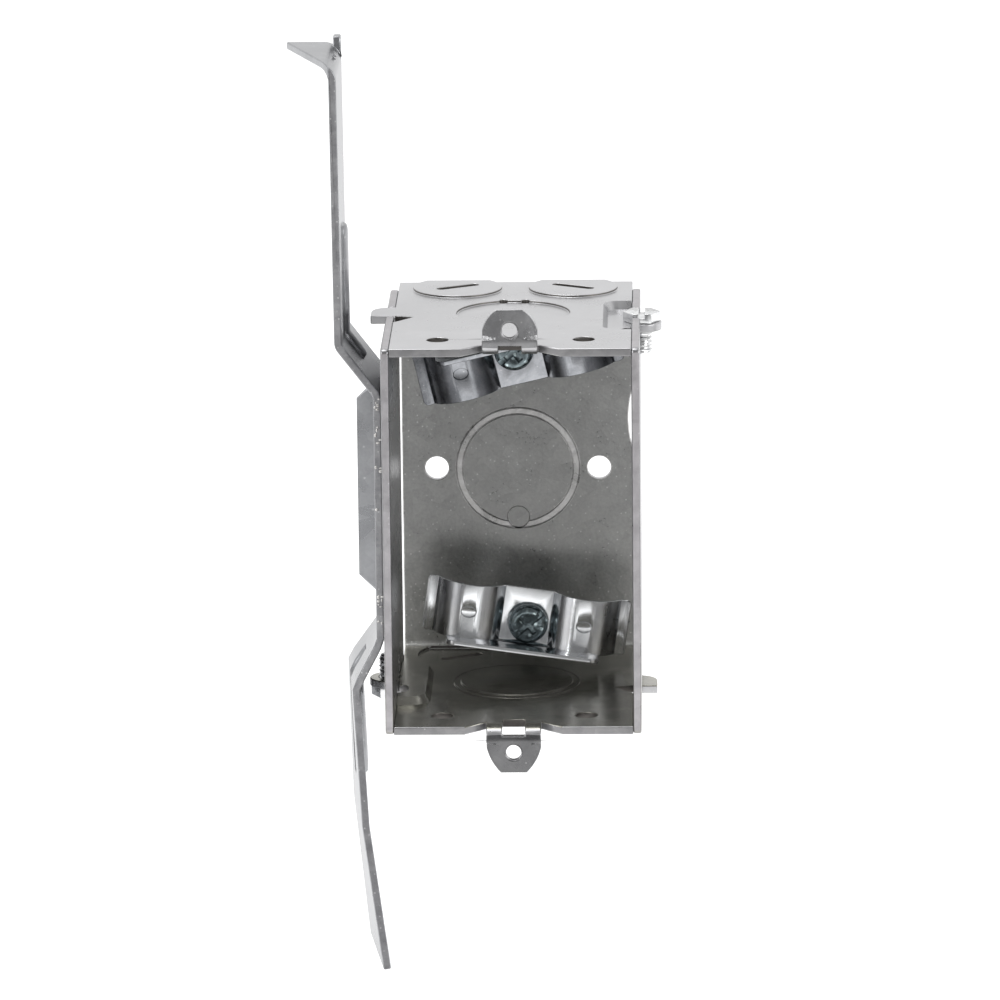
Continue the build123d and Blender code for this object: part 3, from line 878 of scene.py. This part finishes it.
class SpatterTree(MeshTree):
    """Geometry nodes that scatter small beads of weld metal over a patch."""

    SEED = 7
    MOST_PER_SQUARE_METRE = 4.0e6
    BEAD_LEVELS = 2
    BEAD_SCALES = (0.35, 1.1)

    def __init__(self) -> None:
        """Build the tree once."""
        sizes = {"Bead radius": 0.35 * MM, "Distance apart": 0.5 * MM, "Seed": self.SEED}
        super().__init__("weld_beads", sizes, on_mesh=True)
        scatter = self.desk.add("GeometryNodeDistributePointsOnFaces", distribute_method="POISSON")
        self.desk.feed(scatter, {
            "Mesh": self.given["Geometry"],
            "Distance Min": self.given["Distance apart"],
            "Density Max": self.MOST_PER_SQUARE_METRE,
            "Seed": self.given["Seed"],
        })
        bead = self.desk.add("GeometryNodeMeshIcoSphere", {
            "Radius": self.given["Bead radius"],
            "Subdivisions": self.BEAD_LEVELS,
        })
        least, most = self.BEAD_SCALES
        chance = self.desk.add("FunctionNodeRandomValue", {
            "Min": (least, least, least),
            "Max": (most, most, most),
            "Seed": self.given["Seed"],
        }, data_type="FLOAT_VECTOR")
        copies = self.desk.add("GeometryNodeInstanceOnPoints", {
            "Points": scatter.outputs["Points"],
            "Instance": bead.outputs["Mesh"],
            "Scale": chance.outputs["Value"],
        })
        real = self.desk.add("GeometryNodeRealizeInstances",
                             {"Geometry": copies.outputs["Instances"]})
        smooth = self.desk.add("GeometryNodeSetShadeSmooth",
                               {"Geometry": real.outputs["Geometry"]})
        self.close(smooth.outputs["Geometry"])

    def scatter(self, name: str, patches: list[tuple[Vector, Vector, Vector]], bead_mm: float,
                apart_mm: float, finish: bpy.types.Material) -> bpy.types.Object:
        """Scatter beads over flat patches.

        Args:
            name: Name of the new piece.
            patches: Middle and both half sides of each patch, in millimetres.
            bead_mm: Radius of the largest bead.
            apart_mm: Least distance between beads.
            finish: Material of the beads.

        Returns:
            The beads as a plain mesh.
        """
        corners = []
        faces = []
        for middle, along, across in patches:
            start = len(corners)
            for first, second in ((-1, -1), (1, -1), (1, 1), (-1, 1)):
                corners.append((middle + along * first + across * second) * MM)
            faces.append(tuple(range(start, start + 4)))
        mesh = bpy.data.meshes.new(name)
        mesh.from_pydata(corners, [], faces)
        piece = link(bpy.data.objects.new(name, mesh))
        return self.run(piece, {"Bead radius": bead_mm * MM, "Distance apart": apart_mm * MM,
                                "Finish": finish})


@dataclass
class StudBracket:
    """The bent strip with its ribs, prong and middle flange.

    Each row of weld_rows_mm is the height of a rough patch and half its length.
    """

    finishes: Finishes
    front_mm: float = 19.25
    back_mm: float = 44.25
    front_facing_share: float = 0.9
    front_reach_mm: float = 6.0
    back_reach_mm: float = 0.3
    strip_middle_mm: float = -26.2
    round_mm: float = 0.3
    bead_mm: float = 0.42
    beads_apart_mm: float = 0.55
    weld_in_mm: float = 0.1
    weld_half_width_mm: float = 0.55
    weld_rows_mm: tuple[Span, ...] = (
        (23.0, 1.4), (16.8, 1.7), (10.0, 0.5), (2.0, 0.4), (-16.5, 1.2), (-20.5, 0.5))

    def is_cut_side(self, middle: Vector, facing: Vector) -> bool:
        """Whether a face is a cut side of the strip.

        Args:
            middle: Middle of the face in millimetres.
            facing: Direction of the face.

        Returns:
            Yes or no.
        """
        if facing.y < -self.front_facing_share:
            return middle.y < self.front_mm + self.front_reach_mm
        return facing.y > SQUARE_ON and middle.y < self.back_mm + self.back_reach_mm

    def build(self) -> None:
        """Build the dressed bracket."""
        materials = (self.finishes.strip, self.finishes.strip_edge)
        piece = rounded_piece("bracket", merged_copy("stud_bracket"), materials, self.round_mm)
        paint_where(piece.data, 1, self.is_cut_side)
        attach(piece, "root")
        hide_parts("stud_bracket")
        LOG.info("bracket: %d faces", len(piece.data.polygons))
        self.add_weld_beads()

    def add_weld_beads(self) -> None:
        """Add the rough weld beads on the front edge of the middle part."""
        along = Vector((0.0, 0.0, 1.0))
        across = Vector((self.weld_half_width_mm, 0.0, 0.0))
        front = Vector((self.strip_middle_mm, self.front_mm + self.weld_in_mm, 0.0))
        patches = [(front + along * height, along * half, across)
                   for height, half in self.weld_rows_mm]
        beads = SpatterTree().scatter("weld_beads", patches, self.bead_mm, self.beads_apart_mm,
                                      self.finishes.weld)
        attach(beads, "root")
        LOG.info("weld beads: %d faces", len(beads.data.polygons))


@dataclass
class CableClamps:
    """The two hat-shaped clamps."""

    finishes: Finishes
    round_mm: float = 0.12

    def build(self) -> None:
        """Build both clamps."""
        # The upper clamp takes the darker copy of the zinc, as painted shade.
        for place, finish in (("upper", self.finishes.shaded_clamp), ("lower", self.finishes.clamp)):
            node = f"{place}_clamp"
            piece = rounded_piece(f"{place}_cable_clamp", merged_copy(node), (finish,),
                                  self.round_mm, even=False)
            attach(piece, node)
            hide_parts(node)
            LOG.info("%s clamp: %d faces", place, len(piece.data.polygons))


@dataclass
class Screws:
    """The two clamp screws and the two gang screws, with rolled threads."""

    finishes: Finishes
    threads: ThreadTree
    pitch_mm: float = 0.79375
    major_mm: float = 2.085
    root_mm: float = 1.72
    ridge_share: float = 0.62
    seat_mm: float = 0.3
    tip_mm: float = 0.5
    clamp_screw_mm: float = 18.0
    gang_screw_mm: float = 6.3
    round_mm: float = 0.1
    near_mm: float = 0.02

    def thin_shank(self, shape: bmesh.types.BMesh, centre: Vector, along: Vector) -> None:
        """Turn the shank of a screw down to the root of its thread.

        Args:
            shape: The screw's mesh.
            centre: A point on its axis.
            along: Direction of its axis.
        """
        axis = max(range(3), key=lambda a: abs(along[a]))
        for vertex in shape.verts:
            arm = vertex.co - centre
            arm[axis] = 0.0
            if abs(arm.length - self.major_mm * MM) < self.near_mm * MM:
                vertex.co = vertex.co - arm * (1.0 - self.root_mm / self.major_mm)

    def build_one(self, node: str, finish: bpy.types.Material, centre: Vector, along: Vector,
                  length_mm: float) -> None:
        """Build one screw.

        Args:
            node: The CAD node.
            finish: Its finish.
            centre: The point on its axis under the head.
            along: Direction from the head to the tip.
            length_mm: Length under the head.
        """
        shape = merged_copy(node)
        self.thin_shank(shape, centre, along)
        ridge_mm = (self.major_mm - self.root_mm) * self.ridge_share
        thread_mm = length_mm - self.seat_mm - self.tip_mm
        thread = self.threads.wind(
            f"{node}_thread", thread_mm / self.pitch_mm, self.major_mm - ridge_mm, thread_mm,
            ridge_mm, finish)
        lay_along(thread, centre + along * self.seat_mm * MM, along)
        piece = rounded_piece(f"{node}_steel", shape, (finish,), self.round_mm, even=False)
        join([piece.data, thread], piece.data)
        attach(piece, node)
        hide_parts(node)
        LOG.info("%s: %d faces", node, len(piece.data.polygons))

    def build(self) -> None:
        """Build all four screws."""
        for place in ("upper", "lower"):
            node = f"{place}_clamp_screw"
            low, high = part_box(node)
            centre = Vector(((low[0] + high[0]) / 2, high[1] - self.clamp_screw_mm * MM,
                             (low[2] + high[2]) / 2))
            self.build_one(node, self.finishes.dark_screw, centre, Vector((0, 1, 0)),
                           self.clamp_screw_mm)
        for side, turn in (("right", Turn.UPRIGHT), ("left", Turn.OVER)):
            node = f"{side}_gang_screw"
            low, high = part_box(node)
            tip = low[2] if turn is Turn.UPRIGHT else high[2]
            centre = Vector(((low[0] + high[0]) / 2, (low[1] + high[1]) / 2,
                             tip + turn.value * self.gang_screw_mm * MM))
            self.build_one(node, self.finishes.bright_screw, centre, Vector((0, 0, -turn.value)),
                           self.gang_screw_mm)


@dataclass(frozen=True)
class Lamp:
    """One soft square lamp aimed at the box, with its sizes in metres."""

    name: str
    place: Point
    side: float
    watts: float

    def add(self) -> None:
        """Put the lamp in the scene."""
        light = bpy.data.lights.new(self.name, "AREA")
        light.shape = "SQUARE"
        light.size = self.side
        light.energy = self.watts
        holder = link(bpy.data.objects.new(self.name, light))
        holder.location = self.place
        holder.rotation_euler = (-Vector(self.place)).to_track_quat("-Z", "Y").to_euler()


@dataclass
class Studio:
    """Floor, light and camera.

    The room fades from front to back along the direction's Y, as the box is lit by it and as
    shiny faces mirror it. The floor is mirrored white within its front, side and back fades.
    """

    camera_mm: Point = (31.8, -1353.4, 339.5)
    yaw: float = -1.436
    pitch: float = 13.738
    roll: float = 0.605
    focal_px: float = 7289.2
    photo_px: float = 1000.0
    sensor_mm: float = 36.0
    clip_m: Span = (0.05, 50.0)
    room_fade: Span = (-0.9, 0.1)
    room_light: Span = (0.42, 1.0)
    mirror_fade: Span = (-0.45, -0.05)
    mirror_light: Span = (0.26, 1.0)
    floor_mm: float = -93.0
    floor_half_m: float = 12.0
    floor_grey: float = 0.5
    floor_glow: float = 0.75
    floor_front_m: Span = (-0.48, -0.24)
    floor_side_m: Span = (0.26, 0.12)
    floor_back_m: Span = (0.0, 0.15)
    lamps: tuple[Lamp, ...] = (
        Lamp("top_lamp", (-0.3, -0.1, 1.3), 0.9, 8.0),
        Lamp("left_lamp", (-1.1, -0.9, 0.5), 0.8, 7.0),
        Lamp("right_lamp", (1.2, -0.8, 0.4), 0.8, 8.0),
    )

    def add_camera(self) -> None:
        """Place the camera at the photograph's viewing angle."""
        yaw, pitch, roll = (math.radians(v) for v in (self.yaw, self.pitch, self.roll))
        ahead = Vector((math.sin(yaw) * math.cos(pitch), math.cos(yaw) * math.cos(pitch),
                        -math.sin(pitch)))
        right = Vector((math.cos(yaw), -math.sin(yaw), 0.0))
        down = ahead.cross(right)
        right_rolled = math.cos(roll) * right + math.sin(roll) * down
        down_rolled = -math.sin(roll) * right + math.cos(roll) * down
        lens = bpy.data.cameras.new("camera")
        lens.sensor_width = self.sensor_mm
        lens.lens = self.focal_px * self.sensor_mm / self.photo_px
        lens.clip_start, lens.clip_end = self.clip_m
        camera = link(bpy.data.objects.new("camera", lens))
        basis = Matrix((right_rolled, -down_rolled, -ahead)).transposed().to_4x4()
        camera.matrix_world = Matrix.Translation(Vector(self.camera_mm) * MM) @ basis
        bpy.context.scene.camera = camera

    def add_world(self) -> None:
        """Light the scene evenly, with a white backdrop and a dimmer room in front."""
        world = bpy.data.worlds.new("studio")
        bpy.context.scene.world = world
        world.use_nodes = True
        desk = Desk(world.node_tree)
        path = desk.add("ShaderNodeLightPath")
        direction = desk.add("ShaderNodeTexCoord").outputs["Generated"]
        ahead = desk.add("ShaderNodeSeparateXYZ", {"Vector": direction}).outputs["Y"]
        room = desk.add("ShaderNodeMix", {
            MIX_SHARE: desk.shiny_rays(path),
            MIX_NUMBERS[0]: desk.remap(ahead, self.room_fade, self.room_light),
            MIX_NUMBERS[1]: desk.remap(ahead, self.mirror_fade, self.mirror_light),
        })
        seen = desk.maths("MAXIMUM", path.outputs["Is Camera Ray"], room.outputs[0])
        desk.feed(desk.nodes["Background"], {"Color": (1.0, 1.0, 1.0, 1.0), "Strength": seen})

    def floor_material(self) -> bpy.types.Material:
        """Make a matt material that glows white in the view, and near the box in mirrors.

        Returns:
            The finished material.
        """
        material = bpy.data.materials.new("white_floor")
        material.use_nodes = True
        desk = Desk(material.node_tree)
        desk.nodes.clear()
        path = desk.add("ShaderNodeLightPath")
        place = desk.add("ShaderNodeTexCoord").outputs["Object"]
        split = desk.add("ShaderNodeSeparateXYZ", {"Vector": place})
        near = desk.remap(split.outputs["Y"], self.floor_front_m)
        beside = desk.remap(desk.maths("ABSOLUTE", split.outputs["X"]), self.floor_side_m)
        behind = desk.remap(split.outputs["Y"], self.floor_back_m)
        white = desk.maths("MULTIPLY", near, desk.maths("MAXIMUM", beside, behind))
        mirrored = desk.maths("MULTIPLY", desk.shiny_rays(path), white)
        seen = desk.maths("MAXIMUM", path.outputs["Is Camera Ray"], mirrored)
        strength = desk.maths("MULTIPLY", seen, self.floor_glow)
        glow = desk.add("ShaderNodeEmission", {"Strength": strength})
        grey = (self.floor_grey, self.floor_grey, self.floor_grey, 1.0)
        matt = desk.add("ShaderNodeBsdfDiffuse", {"Color": grey})
        both = desk.add("ShaderNodeAddShader", {0: matt.outputs[0], 1: glow.outputs[0]})
        desk.add("ShaderNodeOutputMaterial", {"Surface": both.outputs[0]})
        return material

    def add_floor(self) -> None:
        """Lay a plain white floor that keeps the shadow."""
        side = self.floor_half_m
        height = self.floor_mm * MM
        corners = [(-side, -side, height), (side, -side, height), (side, side, height),
                   (-side, side, height)]
        mesh = bpy.data.meshes.new("floor")
        mesh.from_pydata(corners, [], [(0, 1, 2, 3)])
        mesh.materials.append(self.floor_material())
        floor = link(bpy.data.objects.new("floor", mesh))

    def build(self) -> None:
        """Build the whole studio."""
        self.add_camera()
        self.add_world()
        self.add_floor()
        for lamp in self.lamps:
            lamp.add()
        LOG.info("studio: camera, three lamps, floor")


def main() -> None:
    """Build the dressed box and its studio."""
    bpy.context.scene.view_settings.view_transform = "Standard"
    finishes = Finishes.make()
    threads = ThreadTree()
    BoxShell(finishes, threads).build()
    SidePlates(finishes).build()
    StudBracket(finishes).build()
    CableClamps(finishes).build()
    Screws(finishes, threads).build()
    Studio().build()


if __name__ == "__main__":
    main()
